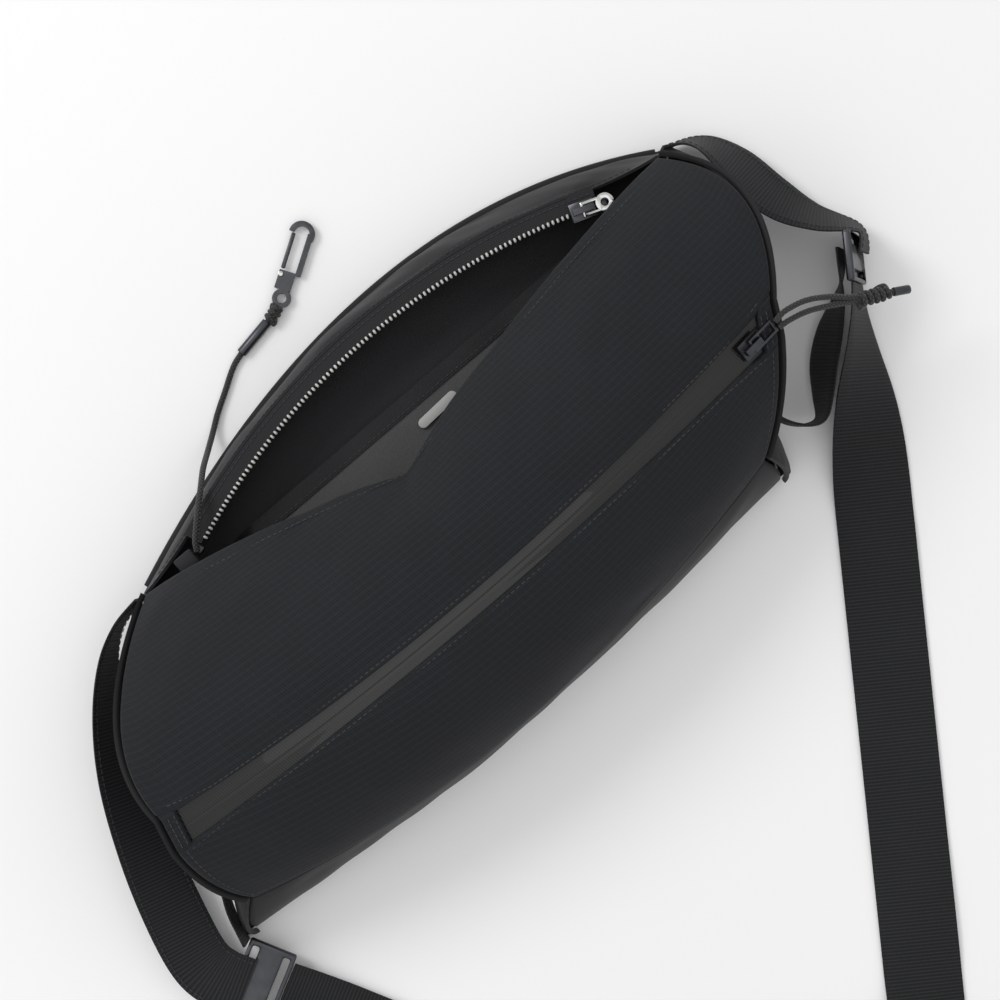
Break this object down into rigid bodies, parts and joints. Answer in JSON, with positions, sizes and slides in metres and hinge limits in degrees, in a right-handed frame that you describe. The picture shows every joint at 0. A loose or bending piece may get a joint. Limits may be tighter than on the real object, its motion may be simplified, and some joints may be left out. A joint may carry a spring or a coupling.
{
  "type": "sling bag",
  "caption": "Soft zip-top sling bag lying on its back, mouth open, with a zipped front pocket, webbing shoulder strap on two buckles and a corded key leash with a clip.",
  "frame": {"origin": "on the floor, at the middle of the flat back panel that the bag lies on", "axes": "+Z out of the bag's front, +Y towards its mouth, +X towards its right end"},
  "size_m": [0.4915, 0.5982, 0.1041],
  "materials": {
    "shell_fabric": "matt recycled ripstop weave, charcoal black",
    "foam": "closed-cell back foam",
    "lining": "plain woven lining, dark grey",
    "slip_felt": "soft brushed pocket cloth, mid grey",
    "binding_tape": "woven tape, black",
    "zip_teeth": "light moulded teeth",
    "coated_tape": "water-resistant coated zip tape, satin",
    "gunmetal": "gunmetal plated, satin",
    "nickel": "bright nickel",
    "braided_cord": "braided cord, black",
    "webbing": "ribbed webbing, black",
    "label": "blank soft label, light grey"
  },
  "bodies": {
    "bag": {"back_panel": "shell_fabric", "back_foam": "foam", "back_lining": "lining", "bottom_panel": "shell_fabric", "front_lower_panel": "shell_fabric", "front_upper_panel": "shell_fabric", "side_panel_left": "shell_fabric", "side_panel_right": "shell_fabric", "rear_band": "shell_fabric", "rim_piping": "shell_fabric", "main_tape_rear": "binding_tape", "main_teeth_rear": "zip_teeth", "main_tape_front": "binding_tape", "main_teeth_front": "zip_teeth", "main_stop_left": "gunmetal", "main_stop_right": "gunmetal", "front_zip_tape": "coated_tape", "front_zip_coil": "coated_tape", "zip_garage_left": "shell_fabric", "zip_garage_right": "shell_fabric", "pocket_divider": "lining", "slip_pocket": "slip_felt", "slip_pocket_binding": "binding_tape", "label_plate": "label", "leash_anchor": "webbing", "leash_cord": "braided_cord", "leash_crimp": "gunmetal", "leash_knot": "braided_cord", "clip_body": "gunmetal", "clip_pin": "nickel", "wing_left": "webbing", "wing_right": "webbing", "lower_web_left": "webbing", "lower_web_right": "webbing", "buckle_left": "gunmetal", "buckle_right": "gunmetal", "strap_end_left": "webbing", "strap_end_right": "webbing"},
    "main_zip_slider": {"main_slider": "gunmetal"},
    "main_zip_pull": {"main_pull": "nickel"},
    "pocket_zip_slider": {"front_slider": "gunmetal"},
    "pocket_zip_pull": {"front_pull_tab": "gunmetal", "pull_cord": "braided_cord", "pull_knot": "braided_cord", "pull_end_tube": "gunmetal"},
    "key_clip_gate": {"clip_gate": "gunmetal"},
    "strap": {"shoulder_strap": "webbing"}
  },
  "joints": [
    {"name": "main_zip_travel", "type": "hinge", "parent": "bag", "child": "main_zip_slider", "pos_m": [0.022, -0.257, 0.035], "axis": [0, 0, 1], "range_deg": [0, 40]},
    {"name": "main_pull_swing", "type": "hinge", "parent": "main_zip_slider", "child": "main_zip_pull", "pos_m": [0.13884, 0.06229, 0.0393], "axis": [-0.3437, -0.9391, 0], "range_deg": [0, 95]},
    {"name": "pocket_zip_travel", "type": "hinge", "parent": "bag", "child": "pocket_zip_slider", "pos_m": [-0.01741, 0.25972, -0.57981], "axis": [0, -0.9134, -0.4072], "range_deg": [0, 25.8]},
    {"name": "pocket_pull_swing", "type": "hinge", "parent": "pocket_zip_slider", "child": "pocket_zip_pull", "pos_m": [0.15263, -0.03845, 0.08906], "axis": [0, -0.9134, -0.4072], "range_deg": [0, 95]},
    {"name": "key_clip_open", "type": "hinge", "parent": "bag", "child": "key_clip_gate", "pos_m": [0.00983, 0.13675, 0.0025], "axis": [0, 0, -1], "range_deg": [0, 16], "stiffness_Nm_per_rad": 0.02, "springref_deg": -11.46},
    {"name": "strap_swing", "type": "hinge", "parent": "bag", "child": "strap", "pos_m": [0.20372, -0.05773, 0.04145], "axis": [-0.9755, -0.2045, -0.0807], "range_deg": [0, 50]}
  ]
}
